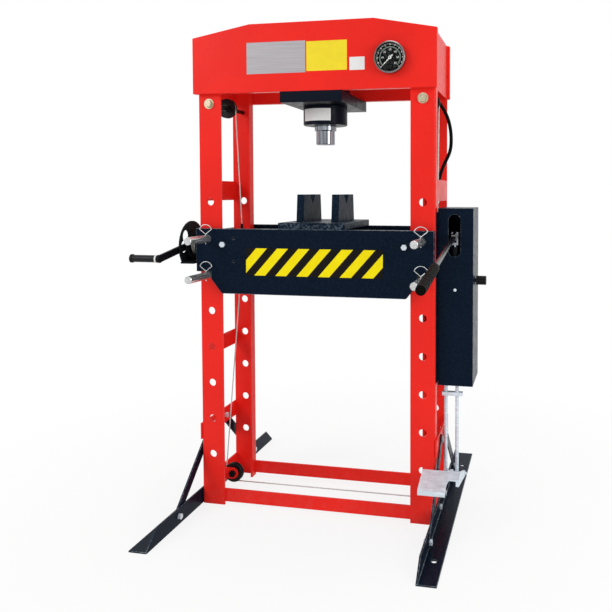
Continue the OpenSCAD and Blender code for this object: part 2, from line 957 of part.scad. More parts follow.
module left_high_pulley() { pulley(-col_x, high_pulley_z); }
module right_high_pulley() { pulley(col_x, high_pulley_z); }
module left_low_pulley() { pulley(-low_pulley_x, low_pulley_z); }
module right_low_pulley() { pulley(low_pulley_x, low_pulley_z); }

module high_axles() {
    collar_y = pulley_w / 2 + loose_gap;
    color(zinc) for (side = [-1, 1])
        translate([side * col_x, 0, high_pulley_z]) {
            rod_y(axle_d, front_y, -front_y);
            for (end = [0, 1])
                mirror([0, end, 0]) {
                    rod_y(collar_d, -collar_y - collar_l, -collar_y);
                    rod_y(washer_d, front_y - washer_t, front_y);
                    translate([0, front_y - washer_t - axle_head_h, 0]) hex_y(axle_af, axle_head_h);
                }
        }
}

module low_axles() {
    half_w = bracket_w / 2;
    color(zinc) for (side = [-1, 1])
        translate([side * low_pulley_x, 0, low_pulley_z]) {
            rod_y(axle_d, -half_w, half_w);
            for (end = [0, 1])
                mirror([0, end, 0]) translate([0, -half_w - axle_head_h, 0]) hex_y(axle_af, axle_head_h);
        }
}

// Cheeks of a low pulley on a base that runs between the uprights and is bolted to the foot
module right_low_bracket() {
    half_w = bracket_w / 2;
    base_x = side_x - bracket_t;
    difference() {
        translate([base_x, -gap_y, bracket_foot_gap]) cube([bracket_t, gap_y + web_y, bracket_h]);
        for (end = [-1, 1])
            translate([base_x, end * foot_bolt_y, foot_bolt_z])
                rod_x(bolt_hole_d, -over, bracket_t + over);
    }
    for (end = [0, 1])
        mirror([0, end, 0]) plate_xz(-half_w, cheek_t - half_w) difference() {
            union() {
                translate([low_pulley_x, low_pulley_z]) circle(r = cheek_r);
                translate([low_pulley_x, low_pulley_z - cheek_r])
                    square([base_x - low_pulley_x, 2 * cheek_r]);
            }
            translate([low_pulley_x, low_pulley_z]) circle(d = axle_d + 2 * loose_gap);
        }
}

module low_pulley_brackets() {
    color(red) {
        right_low_bracket();
        left_side() right_low_bracket();
    }
}

lug_high = tie_z + lug_rise + ferrule_h;
lug_low = tie_z - lug_drop - ferrule_h;
drum_rope_x = winch_x - winch_room / 2;
drum_rope_y = winch_y + drum_core_r + rope_d / 2 + rope_gap;
lift_from = meet(-col_x, high_pulley_z, drum_rope_x, winch_z, -1) + 360;
lift_to = meet(-col_x, high_pulley_z, -lug_x, lug_high, 1);

module lift_rope() {
    color(zinc) cord(
        concat(
            [[drum_rope_x, drum_rope_y, winch_z]],
            wrap(-col_x, high_pulley_z, lift_from, lift_to),
            [[-lug_x, 0, lug_high]]
        ),
        rope_d, rope_sides
    );
}

level_from = meet(-low_pulley_x, low_pulley_z, -lug_x, lug_low, 1);
level_rise = atan2(high_pulley_z - low_pulley_z, col_x - low_pulley_x) - 90;
level_to = 180 - meet(-col_x, high_pulley_z, -lug_x, lug_high, 1);

module level_rope() {
    color(zinc) cord(
        concat(
            [[-lug_x, 0, lug_low]],
            wrap(-low_pulley_x, low_pulley_z, level_from, 270),
            wrap(low_pulley_x, low_pulley_z, 270, 360 + level_rise),
            wrap(col_x, high_pulley_z, level_rise, level_to),
            [[lug_x, 0, lug_high]]
        ),
        rope_d, rope_sides
    );
}

// Winch

module on_winch() {
    translate([0, winch_y, winch_z]) children();
}

module winch_frame() {
    base_z = winch_z - winch_base_drop;
    color(black) {
        difference() {
            union() {
                plate_yz(winch_x, -side_x)
                    translate([-winch_plate_l / 2, base_z]) square([winch_plate_l, winch_plate_h]);
                on_winch() rod_x(2 * boss_r, winch_x - drum_side_gap, winch_x);
            }
            on_winch() rod_x(shaft_d + 2 * run_gap, winch_x - winch_room, over - side_x);
        }
        translate([cheek_x, winch_y - winch_base_l / 2, base_z])
            cube([winch_x - cheek_x, winch_base_l, winch_cheek_t]);
        on_winch() plate_yz(cheek_x, cheek_x + winch_cheek_t) difference() {
            circle(r = winch_cheek_r);
            translate([-winch_cheek_r, -2 * winch_cheek_r - winch_base_drop])
                square([2 * winch_cheek_r, 2 * winch_cheek_r]);
            for (a = winch_window_degs)
                rotate(a) translate([winch_window_ring_r, 0]) circle(r = winch_window_r);
            circle(d = shaft_d + 2 * run_gap);
        }
    }
}

module winch_drum() {
    outer_x = winch_x - winch_room + drum_side_gap;
    inner_x = winch_x - 2 * drum_side_gap;
    color(black) on_winch() {
        rod_x(2 * drum_core_r, outer_x, inner_x);
        rod_x(2 * drum_flange_r, outer_x, outer_x + drum_flange_t);
        rod_x(2 * drum_flange_r, inner_x - drum_flange_t, inner_x);
        rod_x(shaft_d, crank_x + crank_t, -side_x - shaft_end_gap);
    }
}

module winch_crank() {
    throw_end = [-crank_l * cos(crank_droop_deg), -crank_l * sin(crank_droop_deg)];
    color(black) on_winch() {
        plate_yz(crank_x, crank_x + crank_t) {
            rotate(180 + crank_droop_deg) translate([0, -crank_w / 2]) square([crank_l, crank_w]);
            circle(r = crank_hub_r);
            translate(throw_end) circle(r = crank_eye_r);
        }
        translate([0, throw_end[0], throw_end[1]])
            rod_x(spindle_d, crank_x - grip_washer_t - grip_l, crank_x + crank_t / 2);
    }
}

module crank_grip() {
    throw_end = [-crank_l * cos(crank_droop_deg), -crank_l * sin(crank_droop_deg)];
    start_x = crank_x - grip_washer_t;
    color(black) on_winch() translate([0, throw_end[0], throw_end[1]]) difference() {
        union() {
            rod_x(grip_d, start_x - grip_l, start_x);
            rod_x(grip_collar_d, start_x - grip_l, start_x - grip_l + grip_collar_l);
        }
        rod_x(spindle_d + 2 * run_gap, start_x - grip_l - over, start_x + over);
    }
}

// Pump

module pump_back_plate() {
    plate_y = -gap_y - plate_lap;
    color(navy) {
        plate_yz(side_x, side_x + plate_t)
            translate([plate_y, box_z + plate_inset])
                square([frame_d / 2 - plate_y, box_h - 2 * plate_inset]);
        translate([0, hose_y, elbow_z]) rod_x(2 * elbow_r, elbow_x - elbow_r, side_x);
        translate([elbow_x, hose_y, elbow_z]) cylinder(r = elbow_r, h = elbow_rise);
    }
}

module pump_box() {
    color(navy) difference() {
        translate([box_x, box_front_y, box_z]) cube([box_w, box_d, box_h]);
        translate([box_x - over, box_front_y + box_wall, box_z + box_wall])
            cube([box_w - box_wall + over, box_d - 2 * box_wall, box_h - 2 * box_wall]);
        plate_xz(box_front_y - over, box_front_y + box_wall + over) translate([lever_x, slot_low_z])
            round_bar([0, slot_w / 2], [0, slot_h - slot_w / 2], slot_w);
        translate([box_x + box_w, knob_y, knob_z]) rod_x(knob_stem_d + 2 * run_gap, -box_wall - over, over);
        translate([rod_x, rod_y, box_z - over])
            cylinder(d = tube_d + 2 * loose_gap, h = box_wall + 2 * over);
    }
}

module oil_tank() {
    color(black) difference() {
        union() {
            translate([box_x, tank_y, tank_z]) cube([tank_w, tank_d, tank_h]);
            translate([lever_x, plunger_y, tank_top]) cylinder(d = barrel_d, h = barrel_h);
        }
        translate([lever_x, plunger_y, tank_top])
            cylinder(d = plunger_d + 2 * run_gap, h = barrel_h + over);
    }
}

module pump_plunger() {
    fork_z = plunger_pin_z - fork_depth;
    half_x = lever_tongue_t / 2 + loose_gap;
    outer_x = half_x + fork_ear_t;
    slot_end = (fork_slot_l - fork_slot_h) / 2;
    color(steel) translate([lever_x, plunger_y, 0]) {
        translate([0, 0, tank_top + plunger_foot_gap])
            cylinder(d = plunger_d, h = fork_z - tank_top - plunger_foot_gap);
        translate([-outer_x, -fork_l / 2, fork_z - fork_base_h]) cube([2 * outer_x, fork_l, fork_base_h]);
        for (side = [0, 1])
            mirror([side, 0, 0]) plate_yz(half_x, outer_x) difference() {
                translate([-fork_l / 2, fork_z - fork_base_h])
                    square([fork_l, fork_base_h + fork_depth + fork_top]);
                translate([0, plunger_pin_z]) round_bar([-slot_end, 0], [slot_end, 0], fork_slot_h);
            }
    }
}

module lever_bracket() {
    color(navy) translate([lever_x, 0, 0]) {
        for (side = [0, 1])
            mirror([side, 0, 0]) plate_yz(ear_x, ear_x + ear_t) {
                translate([lever_y, lever_z]) circle(d = ear_w);
                translate([lever_y - ear_w / 2, tank_top]) square([ear_w, lever_z - tank_top]);
            }
        translate([0, lever_y, lever_z]) rod_x(lever_pin_d, -ear_x - ear_t, ear_x + ear_t);
    }
}

module on_lever() {
    translate([lever_x, lever_y, lever_z]) rotate([lever_droop_deg, 0, 0]) children();
}

module hand_lever() {
    hub_x = ear_x - loose_gap;
    color(zinc) on_lever() {
        difference() {
            union() {
                rod_x(2 * lever_hub_r, -hub_x, hub_x);
                plate_yz(-lever_tongue_t / 2, lever_tongue_t / 2)
                    round_bar([0, 0], [-lever_tongue_l, 0], 2 * lever_eye_r);
                rod_y(lever_d, -lever_l + lever_grip_wall, -lever_tongue_l);
            }
            rod_x(lever_pin_d + 2 * run_gap, -hub_x - over, hub_x + over);
        }
        translate([0, -plunger_arm, 0]) rod_x(plunger_pin_d, -plunger_pin_l / 2, plunger_pin_l / 2);
    }
}

module lever_grip() {
    pitch = lever_grip_l / (lever_grip_ridge_count + 1);
    ridge_l = pitch / 2;
    color(black) on_lever() difference() {
        union() {
            rod_y(lever_grip_d, -lever_l, lever_grip_l - lever_l);
            for (i = [1:lever_grip_ridge_count])
                translate([0, i * pitch - lever_l, 0])
                    rod_y(lever_grip_d + 2 * ridge_h, -ridge_l / 2, ridge_l / 2);
        }
        rod_y(lever_d + 2 * run_gap, -lever_l + lever_grip_wall, lever_grip_l - lever_l + over);
    }
}

module release_knob() {
    wall_x = box_x + box_w;
    color(black) translate([wall_x, knob_y, knob_z]) {
        difference() {
            rod_x(knob_d, knob_stand, knob_stand + knob_l);
            for (i = [0:knob_grip_count - 1])
                rotate([360 * i / knob_grip_count, 0, 0]) translate([0, 0, knob_d / 2])
                    rod_x(2 * knob_grip_r, 2 * knob_stand, knob_stand + knob_l + over);
        }
        rod_x(knob_stem_d, -knob_stem_l, knob_stand);
    }
}

// Foot pump

module foot_hanger() {
    low_z = pedal_pivot_z - hanger_eye_r;
    pin_x0 = hanger_x - hanger_eye_t / 2 - pedal_pin_over;
    pin_x1 = rod_x + pedal_arm_gap + pedal_arm_w + pedal_pin_over;
    color(zinc) difference() {
        union() {
            translate([hanger_x, rod_y, low_z]) cylinder(d = tube_d, h = box_z - low_z);
            translate([hanger_x, 0, 0]) plate_yz(-hanger_eye_t / 2, hanger_eye_t / 2)
                round_bar([rod_y, pedal_pivot_z], [pedal_pivot_y, pedal_pivot_z], 2 * hanger_eye_r);
            translate([0, pedal_pivot_y, pedal_pivot_z]) rod_x(pedal_pin_d, pin_x0, pin_x1);
            translate([hanger_x - tube_d, rod_y - guide_d / 2, guide_z]) cube([guide_l, guide_d, guide_h]);
        }
        translate([rod_x, rod_y, guide_z - over])
            cylinder(d = tube_d + 2 * loose_gap, h = guide_h + 2 * over);
    }
}

module foot_rod() {
    color(zinc) translate([rod_x, rod_y, 0]) difference() {
        union() {
            translate([0, 0, rod_eye_z]) cylinder(d = tube_d, h = rod_top_z - rod_eye_z);
            translate([0, 0, rod_eye_z]) rod_x(2 * rod_eye_r, -rod_eye_t / 2, rod_eye_t / 2);
        }
        translate([0, 0, rod_eye_z]) rod_x(rod_eye_d, -tube_d, tube_d);
    }
}

// Point on the underside of the pedal's plate, at a share of its length from the rear edge
function pedal_under(share) = [-pedal_reach - share * pedal_plate_l, pedal_rise - share * pedal_drop];

module pedal_lever(x) {
    front = pedal_under(pedal_strip_share);
    plate_yz(x, x + pedal_arm_w) {
        circle(r = pedal_bush_r);
        polygon([
            [0, -pedal_bush_r], [0, pedal_bush_r], pedal_under(0), front, [front[0], front[1] - pedal_arm_h]
        ]);
    }
}

// The pedal's sloping plate from its rear edge to a share of its length
module pedal_sheet(x0, x1, share) {
    rear = pedal_under(0);
    front = pedal_under(share);
    plate_yz(x0, x1) polygon([
        rear, front, [front[0], front[1] + pedal_plate_t], [rear[0], rear[1] + pedal_plate_t]
    ]);
}

module foot_pedal() {
    left_arm_x = rod_x - pedal_arm_gap - pedal_arm_w;
    right_arm_x = rod_x + pedal_arm_gap;
    right_end_x = right_arm_x + pedal_arm_w;
    lip = pedal_under(1);
    color(zinc) translate([0, pedal_pivot_y, pedal_pivot_z]) {
        difference() {
            union() {
                pedal_lever(left_arm_x);
                pedal_lever(right_arm_x);
            }
            rod_x(pedal_pin_d + 2 * run_gap, left_arm_x - over, right_end_x + over);
        }
        translate([0, pedal_pin_y, pedal_pin_z]) rod_x(rod_pin_d, left_arm_x, right_end_x);
        pedal_sheet(pedal_plate_x, pedal_plate_x + pedal_plate_w, 1);
        pedal_sheet(pedal_plate_x, right_end_x, pedal_strip_share);
        translate([pedal_plate_x, lip[0], lip[1] - pedal_lip_h])
            cube([pedal_plate_w, pedal_plate_t, pedal_lip_h + pedal_plate_t]);
    }
}

// Points of a cubic curve between two ends that leaves and arrives along two handles
function curve(a, handle_a, handle_b, b) = [
    for (i = [0:hose_steps])
        let (t = i / hose_steps, u = 1 - t)
            u * u * u * a + 3 * u * u * t * handle_a + 3 * u * t * t * handle_b + t * t * t * b
];

module pressure_hose() {
    port = [cylinder_neck_d / 2 + port_reach, 0, port_z];
    bulge = [side_x + hose_bulge, hose_y, hose_bulge_z];
    entry = [elbow_x, hose_y, elbow_z + elbow_rise];
    start = port + [hose_stub, 0, 0];
    stop = entry + [0, 0, hose_stub];
    upper = curve(start, start + [hose_lead, 0, 0], bulge + [0, 0, hose_fall], bulge);
    lower = curve(bulge, bulge - [0, 0, hose_dip], stop + [0, 0, hose_sink], stop);
    color(black) cord(
        concat([port], upper, [for (i = [1:hose_steps]) lower[i]], [entry]), hose_d, hose_sides
    );
}

left_front_upright();
left_rear_upright();
right_front_upright();
right_rear_upright();
side_straps();
front_tie_bar();
rear_tie_bar();
left_foot();
right_foot();
foot_braces();
frame_bolts();
crown_front_plate();
crown_rear_plate();
crown_end_plates();
cylinder_mount_plate();
cylinder_body();
cylinder_lock_ring();
ram();
ram_tip();
gauge_case();
gauge_dial();
gauge_needle();
gauge_lens();
table_front_plate();
table_rear_plate();
table_ties();
table_tie_bolts();
left_high_pin();
left_low_pin();
right_high_pin();
right_low_pin();
left_arbour_plate();
right_arbour_plate();
left_v_block();
right_v_block();
left_high_pulley();
right_high_pulley();
left_low_pulley();
right_low_pulley();
high_axles();
low_axles();
low_pulley_brackets();
lift_rope();
level_rope();
winch_frame();
winch_drum();
winch_crank();
crank_grip();
pump_back_plate();
pump_box();
oil_tank();
pump_plunger();
lever_bracket();
hand_lever();
lever_grip();
release_knob();
foot_hanger();
foot_rod();
foot_pedal();
pressure_hose();
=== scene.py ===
"""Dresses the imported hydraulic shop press: camera, studio light, materials and small visible pieces."""
import math

import bmesh
import bpy
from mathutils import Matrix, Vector


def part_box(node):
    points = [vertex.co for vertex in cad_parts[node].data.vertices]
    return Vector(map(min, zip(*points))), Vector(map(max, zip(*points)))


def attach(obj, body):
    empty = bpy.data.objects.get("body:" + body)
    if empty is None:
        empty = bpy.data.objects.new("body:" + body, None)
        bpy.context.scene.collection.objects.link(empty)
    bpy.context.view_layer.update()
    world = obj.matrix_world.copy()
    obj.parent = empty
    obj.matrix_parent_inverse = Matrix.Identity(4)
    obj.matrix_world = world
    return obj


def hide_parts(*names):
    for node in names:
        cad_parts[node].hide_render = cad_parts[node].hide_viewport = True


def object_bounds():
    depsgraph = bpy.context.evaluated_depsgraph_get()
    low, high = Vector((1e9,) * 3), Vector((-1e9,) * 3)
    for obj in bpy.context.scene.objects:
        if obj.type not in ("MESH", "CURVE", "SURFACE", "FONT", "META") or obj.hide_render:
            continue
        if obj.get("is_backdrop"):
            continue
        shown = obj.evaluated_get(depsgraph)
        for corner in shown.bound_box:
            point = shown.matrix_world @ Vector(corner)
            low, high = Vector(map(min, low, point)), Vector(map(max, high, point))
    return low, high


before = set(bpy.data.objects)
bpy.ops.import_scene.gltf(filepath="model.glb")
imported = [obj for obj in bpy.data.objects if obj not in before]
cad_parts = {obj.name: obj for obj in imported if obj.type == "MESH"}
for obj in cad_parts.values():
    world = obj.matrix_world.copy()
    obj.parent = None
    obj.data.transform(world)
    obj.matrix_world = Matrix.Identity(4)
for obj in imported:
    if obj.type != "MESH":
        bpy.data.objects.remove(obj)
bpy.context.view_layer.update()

MM = 0.001
ROOT = "frame"
X_AXIS = Vector((1, 0, 0))
Y_AXIS = Vector((0, 1, 0))
Z_AXIS = Vector((0, 0, 1))

# Photograph and camera
PHOTO_PX = 612
SENSOR_MM = 36.0
LENS_PX = 687.6
CAMERA_AT = Vector((819.7, -2550.6, 1198.7)) * MM
CAMERA_YAW = 11.667
CAMERA_PITCH = 2.383
CAMERA_SHIFT = (-0.1536, -0.14)


def linear(red, green, blue):
    """A colour written as 0 to 255 screen values, as Blender's linear colour."""
    def one(value):
        share = value / 255
        return share / 12.92 if share <= 0.04045 else ((share + 0.055) / 1.055) ** 2.4
    return (one(red), one(green), one(blue), 1.0)


def shade(color, factor):
    """A colour made lighter or darker by a factor."""
    return tuple(min(1.0, part * factor) for part in color[:3]) + (1.0,)


def number_node(nodes, links, operation, first, second):
    """The output of a math node that takes sockets or plain numbers."""
    node = nodes.new("ShaderNodeMath")
    node.operation = operation
    for socket, value in zip(node.inputs, (first, second)):
        if isinstance(value, (int, float)):
            socket.default_value = value
        else:
            links.new(value, socket)
    return node.outputs["Value"]


def range_node(nodes, links, value, low, high, to_low, to_high):
    """The output of a node that maps a value's range onto another, clamped."""
    node = nodes.new("ShaderNodeMapRange")
    for socket, number in zip(("From Min", "From Max", "To Min", "To Max"), (low, high, to_low, to_high)):
        node.inputs[socket].default_value = number
    links.new(value, node.inputs["Value"])
    return node.outputs["Result"]


# Materials

# Colour sockets of Blender's Mix node, which come after its number and vector ones
MIX_FIRST, MIX_SECOND, MIX_RESULT = 6, 7, 2


class Shader:
    """A principled material and the few node patterns that the finishes here share."""

    def __init__(self, name, metal=0.0, specular=0.5):
        self.material = bpy.data.materials.new(name)
        self.material.use_nodes = True
        self.nodes = self.material.node_tree.nodes
        self.links = self.material.node_tree.links
        self.bsdf = self.nodes["Principled BSDF"]
        self.bsdf.inputs["Metallic"].default_value = metal
        self.bsdf.inputs["Specular IOR Level"].default_value = specular
        self.place = self.nodes.new("ShaderNodeTexCoord").outputs["Object"]

    def stretched(self, scale):
        """Object coordinates stretched along the axes."""
        node = self.nodes.new("ShaderNodeMapping")
        node.inputs["Scale"].default_value = scale
        self.links.new(self.place, node.inputs["Vector"])
        return node.outputs["Vector"]

    def axes(self):
        """Object coordinates one by one, under X, Y and Z."""
        node = self.nodes.new("ShaderNodeSeparateXYZ")
        self.links.new(self.place, node.inputs["Vector"])
        return node.outputs

    def noise(self, scale, detail=4.0, rough=0.5, vector=None):
        node = self.nodes.new("ShaderNodeTexNoise")
        node.inputs["Scale"].default_value = scale
        node.inputs["Detail"].default_value = detail
        node.inputs["Roughness"].default_value = rough
        self.links.new(vector or self.place, node.inputs["Vector"])
        return node.outputs["Fac"]

    def spread(self, value, low, high, to_low=0.0, to_high=1.0):
        return range_node(self.nodes, self.links, value, low, high, to_low, to_high)

    def combine(self, operation, first, second):
        return number_node(self.nodes, self.links, operation, first, second)

    def mix(self, factor, first, second):
        """A blend of two colours, each of them a socket or a plain colour."""
        node = self.nodes.new("ShaderNodeMix")
        node.data_type = "RGBA"
        self.links.new(factor, node.inputs["Factor"])
        for socket, value in ((MIX_FIRST, first), (MIX_SECOND, second)):
            if isinstance(value, tuple):
                node.inputs[socket].default_value = value
            else:
                self.links.new(value, node.inputs[socket])
        return node.outputs[MIX_RESULT]

    def color(self, value):
        self.links.new(value, self.bsdf.inputs["Base Color"])

    def rough(self, value, low, high):
        """Roughness that follows a pattern between two limits."""
        self.links.new(self.spread(value, 0.3, 0.7, low, high), self.bsdf.inputs["Roughness"])

    def bump(self, value, strength, depth):
        node = self.nodes.new("ShaderNodeBump")
        node.inputs["Strength"].default_value = strength
        node.inputs["Distance"].default_value = depth
        self.links.new(value, node.inputs["Height"])
        self.links.new(node.outputs["Normal"], self.bsdf.inputs["Normal"])


DUST = linear(150, 146, 140)
DUST_TOP = 0.12


def paint(
    name, color, rough, specular, peel_scale, peel_depth, dust=0.0, mottle=0.0, mottle_scale=130.0, fleck=None
):
    """Sprayed paint: faint clouds, orange peel, powder-coat mottling and some dust near the floor."""
    made = Shader(name, specular=specular)
    cloud = made.spread(made.noise(4.0), 0.35, 0.65)
    tone = made.mix(cloud, shade(color, 0.94), shade(color, 1.04))
    if mottle:
        grain = made.spread(made.noise(mottle_scale, detail=3.0, rough=0.7), 0.46, 0.66, 0.0, mottle)
        tone = made.mix(grain, tone, fleck)
    if dust:
        low = made.spread(made.axes()["Z"], 0.0, DUST_TOP, dust, 0.0)
        specks = made.spread(made.noise(60.0), 0.4, 0.7)
        tone = made.mix(made.combine("MULTIPLY", low, specks), tone, DUST)
    made.color(tone)
    made.rough(made.noise(38.0), *rough)
    made.bump(made.noise(peel_scale, detail=2.0), 0.25, peel_depth)
    return made.material


def metal(name, color, rough, grain, spangle=0.0, share=1.0, dark_lines_and_reflections=0.82):
    """Bare or plated metal: fine drawn lines along one axis, and plating patches. Where the dark end of the
    lines goes deep, as on the hard chrome and the zinc rods, the lines are painted reflections of dark
    surroundings.
    """
    made = Shader(name, metal=share)
    lines = made.noise(1.0, detail=3.0, vector=made.stretched(grain))
    patches = made.noise(45.0, detail=1.0)
    tone = made.mix(made.spread(lines, 0.3, 0.7), shade(color, dark_lines_and_reflections), shade(color, 1.08))
    if spangle:
        tone = made.mix(made.spread(patches, 0.45, 0.6, 0.0, spangle), tone, shade(color, 0.6))
    made.color(tone)
    made.rough(lines, *rough)
    made.bump(lines, 0.15, 0.05 * MM)
    return made.material


def bolt_metal(name, head, rod, front):
    """A long bolt: a plated head in front of a plane across Y, and a darker rod behind it."""
    made = Shader(name, metal=0.6)
    behind = made.combine("GREATER_THAN", made.axes()["Y"], front)
    worn = made.spread(made.noise(160.0, detail=2.0), 0.4, 0.65)
    plated = made.mix(worn, head, shade(head, 0.6))
    rod_behind = made.mix(worn, rod, shade(rod, 1.8))
    made.color(made.mix(behind, plated, rod_behind))
    made.rough(made.noise(70.0), 0.28, 0.42)
    made.bump(made.noise(300.0, detail=2.0), 0.2, 0.05 * MM)
    return made.material


def moulded(name, color, rough, specular, grain_scale, grain_depth, vary=0.18):
    """Plastic, rubber or vinyl with a fine moulded grain."""
    made = Shader(name, specular=specular)
    cloud = made.spread(made.noise(25.0), 0.35, 0.65)
    made.color(made.mix(cloud, shade(color, 1 - vary), shade(color, 1 + vary)))
    made.rough(made.noise(80.0), *rough)
    made.bump(made.noise(grain_scale, detail=2.0), 0.3, grain_depth)
    return made.material


def clear_glass(name):
    """Thin clear lens with faint smears."""
    made = Shader(name)
    made.bsdf.inputs["Transmission Weight"].default_value = 1.0
    made.bsdf.inputs["IOR"].default_value = 1.15
    made.color(made.mix(made.noise(30.0), (0.96, 0.98, 0.98, 1.0), (1.0, 1.0, 1.0, 1.0)))
    made.rough(made.noise(18.0), 0.0, 0.05)
    return made.material


def stranded(name, color):
    """Twisted wire: bright crowns and greasy valleys along the lay."""
    made = Shader(name, metal=0.25)
    lay = made.noise(1.0, detail=1.0, vector=made.stretched((900.0, 900.0, 500.0)))
    made.color(made.mix(made.spread(lay, 0.35, 0.65), shade(color, 0.6), shade(color, 1.1)))
    made.rough(lay, 0.3, 0.55)
    made.bump(lay, 0.4, 0.2 * MM)
    return made.material


RED = paint(
    "red paint", linear(243, 43, 35), rough=(0.26, 0.38), specular=0.1,
    peel_scale=420.0, peel_depth=0.05 * MM, dust=0.08,
)
NAVY = paint(
    "navy paint", linear(7, 20, 37), rough=(0.22, 0.34), specular=0.04,
    peel_scale=700.0, peel_depth=0.05 * MM, dust=0.012,
    mottle=0.26, mottle_scale=230.0, fleck=linear(40, 56, 72),
)
# Lighter colour with bright flecks for the rounded edges of navy plates: partly wear, partly a painted
# highlight along the edges
EDGE_WEAR_AND_HIGHLIGHT = paint(
    "navy edge wear and painted highlight", linear(34, 48, 62), rough=(0.3, 0.45), specular=0.3,
    peel_scale=300.0, peel_depth=0.05 * MM,
    mottle=0.7, mottle_scale=70.0, fleck=linear(142, 152, 158),
)
NAVY_DARK = paint(
    "dark navy paint", linear(8, 15, 29), rough=(0.28, 0.42), specular=0.07,
    peel_scale=700.0, peel_depth=0.06 * MM,
)
BLACK_STEEL = paint(
    "black steel", linear(15, 18, 23), rough=(0.38, 0.55), specular=0.08,
    peel_scale=260.0, peel_depth=0.1 * MM,
)
BLUED_STEEL = paint(
    "blued steel", linear(12, 27, 44), rough=(0.3, 0.45), specular=0.03,
    peel_scale=180.0, peel_depth=0.1 * MM, mottle=0.4, fleck=linear(48, 62, 76),
)
# Arbour plates: bright flecks that are partly scratches and partly painted glints
WORN_STEEL_AND_GLINTS = paint(
    "worn steel with painted glints", linear(10, 24, 38), rough=(0.28, 0.5), specular=0.04,
    peel_scale=150.0, peel_depth=0.3 * MM, mottle=0.75, fleck=linear(92, 106, 120),
)
ZINC = metal(
    "zinc plating", linear(222, 234, 244), rough=(0.34, 0.5), grain=(30.0, 30.0, 200.0),
    spangle=0.1, share=0.3,
)
# Pins: deep dark streaks along the axis, partly drawn lines and partly painted reflections of dark
# surroundings
ZINC_ROD = metal(
    "zinc rod", linear(226, 228, 228), rough=(0.2, 0.36), grain=(400.0, 14.0, 400.0),
    spangle=0.25, share=0.82, dark_lines_and_reflections=0.5,
)
AXLE = bolt_metal(
    "yellow zinc", head=linear(208, 196, 164), rod=linear(38, 36, 36),
    front=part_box("right_front_upright")[0].y,
)
LEVER_STEEL = metal("lever steel", linear(92, 94, 94), rough=(0.16, 0.28), grain=(300.0, 14.0, 14.0))
# Ram and plunger: deep dark streaks along the axis, mostly painted reflections of dark surroundings over
# faint drawn lines
CHROME = metal(
    "hard chrome", linear(166, 172, 180), rough=(0.1, 0.2), grain=(110.0, 110.0, 3.0), dark_lines_and_reflections=0.22
)
BEZEL = metal("bezel chrome", linear(126, 124, 124), rough=(0.16, 0.28), grain=(90.0, 90.0, 90.0))
SILVER = metal(
    "bare label silver", linear(170, 166, 170), rough=(0.4, 0.52), grain=(6.0, 6.0, 300.0), share=0.25
)
PLASTIC = moulded(
    "black plastic", linear(21, 22, 25), rough=(0.32, 0.5), specular=0.18,
    grain_scale=900.0, grain_depth=0.05 * MM,
)
RUBBER = moulded(
    "black rubber", linear(12, 13, 11), rough=(0.42, 0.6), specular=0.03,
    grain_scale=700.0, grain_depth=0.12 * MM,
)
DIAL = moulded(
    "dial black", linear(12, 17, 16), rough=(0.4, 0.5), specular=0.06,
    grain_scale=900.0, grain_depth=0.01 * MM, vary=0.06,
)
MARK = moulded(
    "dial marks", linear(238, 238, 232), rough=(0.4, 0.5), specular=0.3,
    grain_scale=900.0, grain_depth=0.01 * MM, vary=0.03,
)
SCALE = moulded(
    "dial scale ring", linear(128, 140, 132), rough=(0.4, 0.5), specular=0.3,
    grain_scale=900.0, grain_depth=0.01 * MM, vary=0.05,
)
YELLOW = moulded(
    "bare label yellow", linear(246, 222, 40), rough=(0.34, 0.46), specular=0.25,
    grain_scale=500.0, grain_depth=0.02 * MM, vary=0.03,
)
WHITE = moulded(
    "bare label white", linear(236, 236, 234), rough=(0.34, 0.46), specular=0.25,
    grain_scale=500.0, grain_depth=0.02 * MM, vary=0.02,
)
LENS = clear_glass("lens glass")
ROPE = stranded("wire rope", linear(222, 220, 216))

FINISHES = {
    RED: (
        "left_front_upright", "left_rear_upright", "right_front_upright", "right_rear_upright", "side_straps",
        "front_tie_bar", "rear_tie_bar", "crown_front_plate", "crown_rear_plate", "crown_end_plates",
        "low_pulley_brackets",
    ),
    NAVY: ("left_foot", "right_foot", "foot_braces", "table_front_plate", "table_rear_plate", "pump_box"),
    NAVY_DARK: (
        "cylinder_mount_plate", "cylinder_body", "cylinder_lock_ring", "table_ties", "pump_back_plate",
        "lever_bracket",
    ),
    ZINC: ("frame_bolts", "table_tie_bolts", "foot_hanger", "foot_rod", "foot_pedal"),
    AXLE: ("high_axles",),
    LEVER_STEEL: ("hand_lever",),
    ZINC_ROD: ("left_high_pin", "left_low_pin", "right_high_pin", "right_low_pin"),
    CHROME: ("ram", "ram_tip", "pump_plunger"),
    BEZEL: ("gauge_case",),
    BLACK_STEEL: ("winch_frame", "winch_drum", "winch_crank", "oil_tank", "low_axles"),
    BLUED_STEEL: ("left_v_block", "right_v_block"),
    WORN_STEEL_AND_GLINTS: ("left_arbour_plate", "right_arbour_plate"),
    PLASTIC: (
        "left_high_pulley", "right_high_pulley", "left_low_pulley", "right_low_pulley", "release_knob",
        "crank_grip",
    ),
    RUBBER: ("lever_grip", "pressure_hose"),
    DIAL: ("gauge_dial",),
    MARK: ("gauge_needle",),
    LENS: ("gauge_lens",),
    ROPE: ("lift_rope", "level_rope"),
}
for material, names in FINISHES.items():
    for name in names:
        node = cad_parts[name]
        node.data.materials.clear()
        node.data.materials.append(material)

# Rounded arrises on the plates, by width in millimetres, so that edges catch the light as the real ones do
SOFT_EDGES = {
    1.6: ("crown_front_plate", "crown_rear_plate", "table_front_plate", "table_rear_plate"),
    1.8: ("left_foot", "right_foot", "foot_braces"),
    1.0: ("pump_box",),
    1.2: ("cylinder_mount_plate", "left_arbour_plate", "right_arbour_plate", "left_v_block", "right_v_block"),
    0.8: ("side_straps", "front_tie_bar", "rear_tie_bar", "foot_pedal"),
}
SEAM_GAP = 0.01 * MM
# In degrees: faces that differ by less are one plane, and edges that turn by more are rounded
FLAT_ANGLE = 0.5
SHARP_ANGLE = 40


